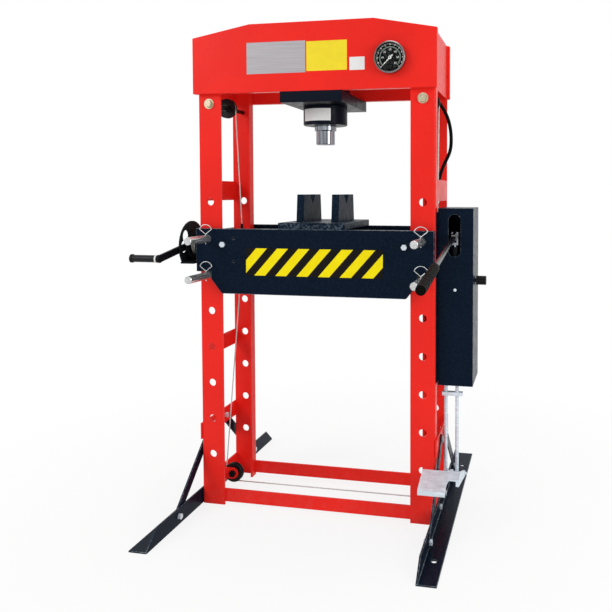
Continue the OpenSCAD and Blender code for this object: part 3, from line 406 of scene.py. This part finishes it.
def soften(name, width):
    """Rounds a plate's sharp edges by modifiers, and where the plate is navy gives them a lighter colour that
    is partly wear and partly a painted highlight.
    """
    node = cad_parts[name]
    weld = node.modifiers.new("weld", "WELD")
    weld.merge_threshold = SEAM_GAP
    flat = node.modifiers.new("flat", "DECIMATE")
    flat.decimate_type = "DISSOLVE"
    flat.angle_limit = math.radians(FLAT_ANGLE)
    bevel = node.modifiers.new("arris", "BEVEL")
    bevel.width = width * MM
    bevel.segments = 2
    bevel.limit_method = "ANGLE"
    bevel.angle_limit = math.radians(SHARP_ANGLE)
    # The bevel faces take the lighter edge colour, partly wear and partly a painted edge highlight
    if NAVY in node.data.materials[:]:
        node.data.materials.append(EDGE_WEAR_AND_HIGHLIGHT)
        bevel.material = 1
        bevel.use_clamp_overlap = False
    node.modifiers.new("even", "WEIGHTED_NORMAL").keep_sharp = True


for width, names in SOFT_EDGES.items():
    for name in names:
        soften(name, width)


# Pieces

def add(name, data):
    """A new object in the scene."""
    made = bpy.data.objects.new(name, data)
    bpy.context.scene.collection.objects.link(made)
    return made


def piece(name, bm, material, body, smooth=True):
    """Makes a named object of a mesh in the row's frame, riding on a body."""
    bmesh.ops.recalc_face_normals(bm, faces=bm.faces)
    mesh = bpy.data.meshes.new(name)
    bm.to_mesh(mesh)
    bm.free()
    mesh.materials.append(material)
    for face in mesh.polygons:
        face.use_smooth = smooth
    made = add(name, mesh)
    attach(made, body)
    return made


def middle(name):
    """Centre of a node's box."""
    low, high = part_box(name)
    return (low + high) / 2


def rounded_outline(low, high, radius, steps=6):
    """Points of a rectangle with round corners, counter-clockwise."""
    points = []
    corners = (
        (high[0] - radius, high[1] - radius, 0), (low[0] + radius, high[1] - radius, 90),
        (low[0] + radius, low[1] + radius, 180), (high[0] - radius, low[1] + radius, 270),
    )
    for x, z, start in corners:
        for step in range(steps + 1):
            angle = math.radians(start + 90 * step / steps)
            points.append((x + radius * math.cos(angle), z + radius * math.sin(angle)))
    return points


def ring_points(center, radius, along, across, sides):
    """Points of a circle round a centre, in the plane of two unit vectors."""
    angles = [math.tau * i / sides for i in range(sides)]
    return [center + radius * (math.cos(angle) * along + math.sin(angle) * across) for angle in angles]


def skin(bm, rings):
    """Faces between rings of points, with both ends capped."""
    loops = [[bm.verts.new(point) for point in ring] for ring in rings]
    count = len(loops[0])
    for first, second in zip(loops, loops[1:]):
        for i in range(count):
            bm.faces.new((first[i], first[(i + 1) % count], second[(i + 1) % count], second[i]))
    bm.faces.new(loops[0])
    bm.faces.new(loops[-1])


def front_plate(name, low, high, face_y, thick, radius, material):
    """A thin plate with round corners and a bevelled front edge, stuck on a face that looks along -Y."""
    bevel = thick / 2
    outline = rounded_outline(low, high, radius)
    inner = rounded_outline(
        (low[0] + bevel, low[1] + bevel), (high[0] - bevel, high[1] - bevel), radius - bevel
    )
    bm = bmesh.new()
    skin(bm, (
        [(x, face_y, z) for x, z in outline],
        [(x, face_y - thick + bevel, z) for x, z in outline],
        [(x, face_y - thick, z) for x, z in inner],
    ))
    piece(name, bm, material, ROOT, smooth=False)


def turned(bm, start, axis, profile, sides=48):
    """A closed solid of revolution: profile is a list of (distance along the axis, radius)."""
    along = axis.orthogonal().normalized()
    across = axis.cross(along)
    skin(bm, [ring_points(start + axis * at, radius, along, across, sides) for at, radius in profile])


def resample(route, step):
    """Points along a polyline about a step apart."""
    points = [route[0]]
    for a, b in zip(route, route[1:]):
        count = max(1, round((b - a).length / step))
        points += [a.lerp(b, i / count) for i in range(1, count + 1)]
    return points


def sweep(bm, route, section, sides, pitch=0.0):
    """A tube along a route: section(angle) is its radius, and it turns once per pitch."""
    rings = []
    side = None
    run = 0.0
    for i, point in enumerate(route):
        tangent = (route[min(i + 1, len(route) - 1)] - route[max(i - 1, 0)]).normalized()
        side = tangent.orthogonal() if side is None else side - tangent * side.dot(tangent)
        side.normalize()
        other = tangent.cross(side)
        if i:
            run += (point - route[i - 1]).length
        turn = math.tau * run / pitch if pitch else 0.0
        ring = []
        for k in range(sides):
            angle = math.tau * k / sides
            radius = section(angle)
            ring.append(point + radius * (math.cos(angle + turn) * side + math.sin(angle + turn) * other))
        rings.append(ring)
    skin(bm, rings)


# Bare label plates on the crown, where the real press carries its signs
crown_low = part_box("crown_front_plate")[0]
LABEL_THICK = 0.8 * MM
LABEL_RADIUS = 1.5 * MM
# Lower left and upper right corner of each in millimetres, from the foot of the crown's middle
LABELS = (
    ("silver_label_plate", (-244, 66), (-18, 180), SILVER, "zinc"),
    ("yellow_label_plate", (-14, 70), (137, 176), YELLOW, "needle"),
    ("white_label_plate", (146, 68), (202, 114), WHITE, "needle"),
)
for name, low, high, material, slot in LABELS:
    front_plate(
        name,
        (low[0] * MM, crown_low.z + low[1] * MM),
        (high[0] * MM, crown_low.z + high[1] * MM),
        crown_low.y, LABEL_THICK, LABEL_RADIUS, material,
    )


# Bare plate bent round the front of the cylinder
CYLINDER_LABEL_Z = (1465 * MM, 1511 * MM)
CYLINDER_LABEL_TURN = (math.radians(-138), math.radians(-59))
CYLINDER_LABEL_STEPS = 24
LABEL_EDGE = 0.4 * MM


def cylinder_plate():
    radius = -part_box("cylinder_body")[0].y
    low_z, high_z = CYLINDER_LABEL_Z
    left, right = CYLINDER_LABEL_TURN
    section = (
        (-LABEL_EDGE, low_z), (LABEL_THICK - LABEL_EDGE, low_z), (LABEL_THICK, low_z + LABEL_EDGE),
        (LABEL_THICK, high_z - LABEL_EDGE), (LABEL_THICK - LABEL_EDGE, high_z), (-LABEL_EDGE, high_z),
    )
    rings = []
    for i in range(CYLINDER_LABEL_STEPS + 1):
        angle = left + (right - left) * i / CYLINDER_LABEL_STEPS
        out = Vector((math.cos(angle), math.sin(angle), 0))
        rings.append([out * (radius + reach) + z * Z_AXIS for reach, z in section])
    bm = bmesh.new()
    skin(bm, rings)
    piece("cylinder_label_plate", bm, WHITE, ROOT, smooth=False)


cylinder_plate()


def stripes(name, left, top, pitch, yellow_share, slant):
    """Yellow and black bands that lean to the right, in the plane of a front face."""
    made = Shader(name, specular=0.1)
    place = made.axes()
    down = made.combine("MULTIPLY", made.combine("SUBTRACT", top, place["Z"]), slant)
    along = made.combine("ADD", made.combine("SUBTRACT", place["X"], left), down)
    band = made.combine("FRACT", made.combine("DIVIDE", along, pitch), 0.0)
    black = made.combine("GREATER_THAN", band, yellow_share)
    grime = made.spread(made.noise(22.0), 0.3, 0.7)
    yellow = made.mix(grime, linear(250, 226, 8), linear(255, 238, 20))
    dark = made.mix(grime, linear(12, 9, 8), linear(20, 16, 14))
    made.color(made.mix(black, yellow, dark))
    made.rough(made.noise(60.0), 0.3, 0.42)
    made.bump(made.noise(500.0, detail=2.0), 0.2, 0.02 * MM)
    return made.material


# Hazard stripes along the front of the table
table_low, table_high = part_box("table_front_plate")
HAZARD_LEFT = -252 * MM
HAZARD_RIGHT = 268 * MM
HAZARD_DROP = 71 * MM
HAZARD_H = 101 * MM
HAZARD_PITCH = 82 * MM
HAZARD_FIRST = 40 * MM
HAZARD_YELLOW = 0.52
HAZARD_SLANT = 0.89
HAZARD_RADIUS = 2 * MM
hazard_top = table_high.z - HAZARD_DROP
HAZARD = stripes(
    "hazard stripes", HAZARD_LEFT + HAZARD_FIRST, hazard_top, HAZARD_PITCH, HAZARD_YELLOW, HAZARD_SLANT
)
front_plate(
    "hazard_panel", (HAZARD_LEFT, hazard_top - HAZARD_H), (HAZARD_RIGHT, hazard_top), table_low.y,
    LABEL_THICK, HAZARD_RADIUS, HAZARD,
)

# Gauge face: ticks, scale ring and figures on the dial
gauge_center = middle("gauge_case")
DIAL_T = 1.5 * MM
dial_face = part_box("gauge_dial")[1].y - DIAL_T
GAUGE_START = 225
GAUGE_SWEEP = 270
MARK_T = 0.15 * MM
TICKS = 60
TICKS_PER_LONG = 5
TICK_END_R = 49 * MM
# Inner radius of a tick, and half its width in degrees
LONG_TICK = (42.5 * MM, 1.7)
SHORT_TICK = (45.5 * MM, 0.7)
SCALE_R = (35 * MM, 38.5 * MM)
FIGURES = 7
FIGURE_STEP = 10
FIGURE_SIZE = 10 * MM
FIGURE_R = 27.5 * MM


def dial_point(radius, degrees, rise=0.0):
    """A point on the dial, or so far in front of it."""
    angle = math.radians(degrees)
    x = gauge_center.x + radius * math.cos(angle)
    z = gauge_center.z + radius * math.sin(angle)
    return Vector((x, dial_face - rise, z))


def dial_sector(bm, inner, outer, start, end, steps):
    """A flat ring sector that stands just proud of the dial."""
    for i in range(steps):
        a = start + (end - start) * i / steps
        b = start + (end - start) * (i + 1) / steps
        corners = ((inner, a), (outer, a), (outer, b), (inner, b))
        top = [bm.verts.new(dial_point(r, d, MARK_T)) for r, d in corners]
        low = [bm.verts.new(dial_point(r, d)) for r, d in corners]
        bm.faces.new(top)
        bm.faces.new(low)
        for k in range(4):
            bm.faces.new((low[k], low[(k + 1) % 4], top[(k + 1) % 4], top[k]))


def gauge_face():
    ticks = bmesh.new()
    for i in range(TICKS + 1):
        at = GAUGE_START - GAUGE_SWEEP * i / TICKS
        inner, width = SHORT_TICK if i % TICKS_PER_LONG else LONG_TICK
        dial_sector(ticks, inner, TICK_END_R, at - width, at + width, steps=2)
    piece("gauge_ticks", ticks, MARK, ROOT, smooth=False)
    scale = bmesh.new()
    dial_sector(scale, *SCALE_R, GAUGE_START, GAUGE_START - GAUGE_SWEEP, steps=TICKS)
    piece("gauge_scale_ring", scale, SCALE, ROOT, smooth=False)
    for i in range(FIGURES):
        name = f"gauge_figure_{i}"
        figure = bpy.data.curves.new(name, "FONT")
        figure.body = str(FIGURE_STEP * i)
        figure.size = FIGURE_SIZE
        figure.align_x = "CENTER"
        figure.align_y = "CENTER"
        figure.extrude = MARK_T / 2
        figure.materials.append(MARK)
        made = add(name, figure)
        made.location = dial_point(FIGURE_R, GAUGE_START - GAUGE_SWEEP * i / (FIGURES - 1), MARK_T / 2)
        made.rotation_euler = (math.pi / 2, 0, 0)
        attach(made, ROOT)


gauge_face()


# Wire ropes: strands that twist along the routes of the solids they stand for
ROPE_R = 2.5 * MM
STRANDS = 6
STRAND_DIP = 0.16
ROPE_LAY = 26 * MM
ROPE_STEP = 4 * MM
ROPE_GAP = 0.8 * MM
GROOVE_R = 31 * MM
WRAP_R = GROOVE_R + ROPE_R + ROPE_GAP


def strand_section(angle):
    """Radius of a rope, which dips between its strands."""
    return ROPE_R * (1 - STRAND_DIP + STRAND_DIP * abs(math.cos(STRANDS / 2 * angle)))


def wrap(center, start, end, steps=24):
    """Points round a pulley between two angles in degrees, in the ropes' plane."""
    return [
        center + WRAP_R * Vector((math.cos(math.radians(a)), 0, math.sin(math.radians(a))))
        for a in (start + (end - start) * i / steps for i in range(steps + 1))
    ]


def meet(center, point, turn):
    """Angle in degrees at which a rope from a point meets a pulley."""
    span = math.hypot(point.x - center.x, point.z - center.z)
    toward = math.atan2(point.z - center.z, point.x - center.x)
    return math.degrees(toward + turn * math.acos(WRAP_R / span))


def wire_rope(name, route, body):
    """A stranded rope along a route, and the points that it follows."""
    bm = bmesh.new()
    path = resample(route, ROPE_STEP)
    sweep(bm, path, strand_section, sides=18, pitch=ROPE_LAY)
    return piece(name, bm, ROPE, body), path


def taut_rope(name, route, node):
    """A rope held taut between two fittings of the press, in place of its solid."""
    made, path = wire_rope(name, route, ROOT)
    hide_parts(node)


high_left, high_right = middle("left_high_pulley"), middle("right_high_pulley")
low_left, low_right = middle("left_low_pulley"), middle("right_low_pulley")
ties_low, ties_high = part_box("table_ties")
drum_center = middle("winch_drum")
lift_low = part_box("lift_rope")[0]
LUG_X = 350 * MM
lug_high = Vector((LUG_X, 0, ties_high.z))
lug_left = Vector((-LUG_X, 0, ties_high.z))
lug_low = Vector((-LUG_X, 0, ties_low.z))
DRUM_CORE_R = 28 * MM
DRUM_TURNS = 5
DRUM_STEPS = 40
DRUM_PITCH = 2 * ROPE_R + 0.4 * MM
drum_leave = Vector((lift_low.x + ROPE_R, lift_low.y + ROPE_R, drum_center.z))

lift_start = meet(high_left, drum_leave, -1) + 360
lift_end = meet(high_left, lug_left, 1)
taut_rope("lift_wire", [drum_leave] + wrap(high_left, lift_start, lift_end) + [lug_left], "lift_rope")
level_start = meet(low_left, lug_low, 1)
level_lean = math.degrees(math.atan2(high_right.z - low_right.z, high_right.x - low_right.x)) - 90
taut_rope(
    "level_wire",
    [lug_low] + wrap(low_left, level_start, 270) + wrap(low_right, 270, 360 + level_lean)
    + wrap(high_right, level_lean, 180 - lift_end) + [lug_high],
    "level_rope",
)


def drum_winding():
    """Turns of rope on the winch drum."""
    radius = DRUM_CORE_R + ROPE_R
    route = []
    for i in range(DRUM_TURNS * DRUM_STEPS + 1):
        angle = math.tau * i / DRUM_STEPS
        route.append(Vector((
            drum_leave.x + DRUM_PITCH * (i / DRUM_STEPS - DRUM_TURNS / 2),
            drum_center.y + radius * math.cos(angle),
            drum_center.z + radius * math.sin(angle),
        )))
    wire_rope("drum_winding", route, "winch")


drum_winding()

# Hose with crimped ends, along the route of its solid
HOSE_R = 6.5 * MM
HOSE_Y = 40 * MM
HOSE_BULGE = 30 * MM
HOSE_BULGE_Z = 1392 * MM
HOSE_END_IN = 26 * MM
HOSE_END_Z = 1078 * MM
HOSE_PORT_RISE = 68 * MM
HOSE_STUB = 30 * MM
HOSE_HANDLES = tuple(length * MM for length in (211, 179, 95, 225))
# Distance from the end and radius of each step of a crimped end
FERRULE = tuple(
    (at * MM, radius * MM) for at, radius in ((0, 8.5), (10, 8.5), (10.1, 9.8), (28, 9.8), (30, 8.8))
)


def curve_points(a, handle_a, handle_b, b, steps=60):
    """Points of a cubic curve between two ends with their handles."""
    points = []
    for i in range(steps + 1):
        t = i / steps
        u = 1 - t
        points.append(u ** 3 * a + 3 * u * u * t * handle_a + 3 * u * t * t * handle_b + t ** 3 * b)
    return points


def hose_route():
    """Points from the cylinder's port round the bow to the elbow on the pump's back plate."""
    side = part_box("right_front_upright")[1].x
    port = Vector((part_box("cylinder_body")[1].x, 0, crown_low.z + HOSE_PORT_RISE))
    bulge = Vector((side + HOSE_BULGE, HOSE_Y, HOSE_BULGE_Z))
    entry = Vector((side - HOSE_END_IN, HOSE_Y, HOSE_END_Z))
    lead, fall, dip, sink = HOSE_HANDLES
    start = port + HOSE_STUB * X_AXIS
    stop = entry + HOSE_STUB * Z_AXIS
    upper = curve_points(start, start + lead * X_AXIS, bulge + fall * Z_AXIS, bulge)
    lower = curve_points(bulge, bulge - dip * Z_AXIS, stop + sink * Z_AXIS, stop)
    return [port] + upper + lower[1:] + [entry]


def hose():
    route = hose_route()
    bm = bmesh.new()
    sweep(bm, route, lambda angle: HOSE_R, sides=24)
    made = piece("hose_skin", bm, RUBBER, ROOT)
    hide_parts("pressure_hose")
    crimps = bmesh.new()
    for start, axis in ((route[0], X_AXIS), (route[-1], Z_AXIS)):
        turned(crimps, start, axis, FERRULE)
    ends = piece("hose_ends", crimps, ZINC, ROOT)


hose()


# White ring at the crank grip's inner end: where it starts, and its steps along the grip
GRIP_R = 13 * MM
BAND_IN = 1 * MM
BAND = tuple((at * MM, GRIP_R + rise * MM) for at, rise in ((0, 0), (0.5, 1), (6, 1), (6.5, 0)))


def crank_grip_band():
    start = middle("crank_grip")
    start.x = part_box("crank_grip")[1].x - BAND_IN
    bm = bmesh.new()
    turned(bm, start, -X_AXIS, BAND)
    piece("crank_grip_band", bm, WHITE, "crank_grip")


crank_grip_band()


# Weld beads where the upper and middle straps meet the uprights, on the inner side
STRAP_T = 6 * MM
UPRIGHT_T = 8 * MM
# Middle and height of each bead
STRAP_WELDS = ((1203 * MM, 78 * MM), (589 * MM, 62 * MM))
WELD_R = 4 * MM
WELD_RIPPLE = 7 * MM
WELD_STEP = 1.4 * MM
WELD_DIP = 0.25


def weld_bead(bm, x, y, middle_z, height):
    """An upright bead with ripples along it."""
    count = round(height / WELD_STEP)
    rings = []
    for i in range(count + 1):
        run = height * i / count
        swell = WELD_R * (1 - WELD_DIP + WELD_DIP * abs(math.sin(math.pi * run / WELD_RIPPLE)))
        center = Vector((x, y, middle_z - height / 2 + run))
        rings.append(ring_points(center, swell, X_AXIS, Y_AXIS, sides=14))
    skin(bm, rings)


def strap_welds():
    front_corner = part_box("right_front_upright")[1]
    inner = front_corner.x - STRAP_T
    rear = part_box("right_rear_upright")[1].y - UPRIGHT_T
    bm = bmesh.new()
    for middle_z, height in STRAP_WELDS:
        for x in (-inner, inner):
            for y in (front_corner.y, rear):
                weld_bead(bm, x, y, middle_z, height)
    piece("strap_welds", bm, RED, ROOT)


strap_welds()


# Rivet on the pump box, below the lever's slot, from the box's lowest corner
RIVET_AT = Vector((61, 0, 347)) * MM
RIVET_R = 6 * MM
RIVET_RISE = 3 * MM
RIVET_DOME = tuple(math.radians(angle) for angle in (0, 15, 30, 45, 60, 75))


def box_rivet():
    dome = [(RIVET_RISE * math.sin(angle), RIVET_R * math.cos(angle)) for angle in RIVET_DOME]
    bm = bmesh.new()
    turned(bm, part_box("pump_box")[0] + RIVET_AT, -Y_AXIS, dome, sides=24)
    piece("box_rivet", bm, ZINC, ROOT)


box_rivet()


# Floor, light and camera
FLOOR_REACH = 30.0
FLOOR_COLOR = (0.86, 0.86, 0.86, 1.0)
# Where the floor's shadow fades into the white, in metres, and its own glow at both ends
FLOOR_FADE = (0.4, 1.8, 0.82, 1.0)
WORLD_LIGHT = 0.5
# Place, aim, size and watts of each lamp
LAMPS = {
    "key": ((-3.2, -3.4, 3.3), (0.0, 0.0, 0.9), 2.2, 80),
    "fill": ((3.4, -2.0, 1.8), (0.3, 0.0, 0.9), 2.0, 48),
    "top": ((0.2, 0.6, 4.4), (0.0, 0.0, 0.8), 2.4, 50),
}


def seen(nodes, links):
    """One for camera, glossy and transmission rays, and zero for the rays that light the object."""
    path = nodes.new("ShaderNodeLightPath")
    total = path.outputs["Is Camera Ray"]
    for name in ("Is Glossy Ray", "Is Transmission Ray"):
        total = number_node(nodes, links, "MAXIMUM", total, path.outputs[name])
    return total


def pale_floor():
    """A floor with the shadow near the object that glows white further off, for the rays that see it."""
    ground = bpy.data.materials.new("pale floor")
    ground.use_nodes = True
    nodes, links = ground.node_tree.nodes, ground.node_tree.links
    nodes.remove(nodes["Principled BSDF"])
    diffuse = nodes.new("ShaderNodeBsdfDiffuse")
    diffuse.inputs["Color"].default_value = FLOOR_COLOR
    glow = nodes.new("ShaderNodeEmission")
    blend = nodes.new("ShaderNodeMixShader")
    away = nodes.new("ShaderNodeVectorMath")
    away.operation = "LENGTH"
    links.new(nodes.new("ShaderNodeTexCoord").outputs["Object"], away.inputs[0])
    fade = range_node(nodes, links, away.outputs["Value"], *FLOOR_FADE)
    share = number_node(nodes, links, "MULTIPLY", fade, seen(nodes, links))
    links.new(share, blend.inputs["Fac"])
    links.new(diffuse.outputs["BSDF"], blend.inputs[1])
    links.new(glow.outputs["Emission"], blend.inputs[2])
    links.new(blend.outputs["Shader"], nodes["Material Output"].inputs["Surface"])

    mesh = bpy.data.meshes.new("floor")
    reach = FLOOR_REACH
    mesh.from_pydata(
        [(-reach, -reach, 0), (reach, -reach, 0), (reach, reach, 0), (-reach, reach, 0)], [], [(0, 1, 2, 3)]
    )
    mesh.materials.append(ground)
    add("floor", mesh)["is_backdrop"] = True


def white_world():
    """A world that looks white and lights the object with less than that."""
    world = bpy.data.worlds.new("studio")
    bpy.context.scene.world = world
    world.use_nodes = True
    nodes, links = world.node_tree.nodes, world.node_tree.links
    back = nodes["Background"]
    back.inputs["Color"].default_value = (1.0, 1.0, 1.0, 1.0)
    extra = number_node(nodes, links, "MULTIPLY", seen(nodes, links), 1.0 - WORLD_LIGHT)
    links.new(number_node(nodes, links, "ADD", extra, WORLD_LIGHT), back.inputs["Strength"])


def lamp(name, place, aim, size, watts):
    """A square area lamp that looks at a point."""
    data = bpy.data.lights.new(name, "AREA")
    data.size = size
    data.energy = watts
    made = add(name, data)
    made.location = place
    made.rotation_euler = (Vector(aim) - Vector(place)).to_track_quat("-Z", "Y").to_euler()


def camera():
    """The camera fitted to the photograph."""
    data = bpy.data.cameras.new("camera")
    data.sensor_width = SENSOR_MM
    data.lens = SENSOR_MM * LENS_PX / PHOTO_PX
    data.shift_x, data.shift_y = CAMERA_SHIFT
    made = add("camera", data)
    made.location = CAMERA_AT
    made.rotation_euler = (math.radians(90 - CAMERA_PITCH), 0, math.radians(CAMERA_YAW))
    bpy.context.scene.camera = made


pale_floor()
white_world()
for name, values in LAMPS.items():
    lamp(name, *values)
camera()
bpy.context.scene.view_settings.view_transform = "Standard"

low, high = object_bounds()
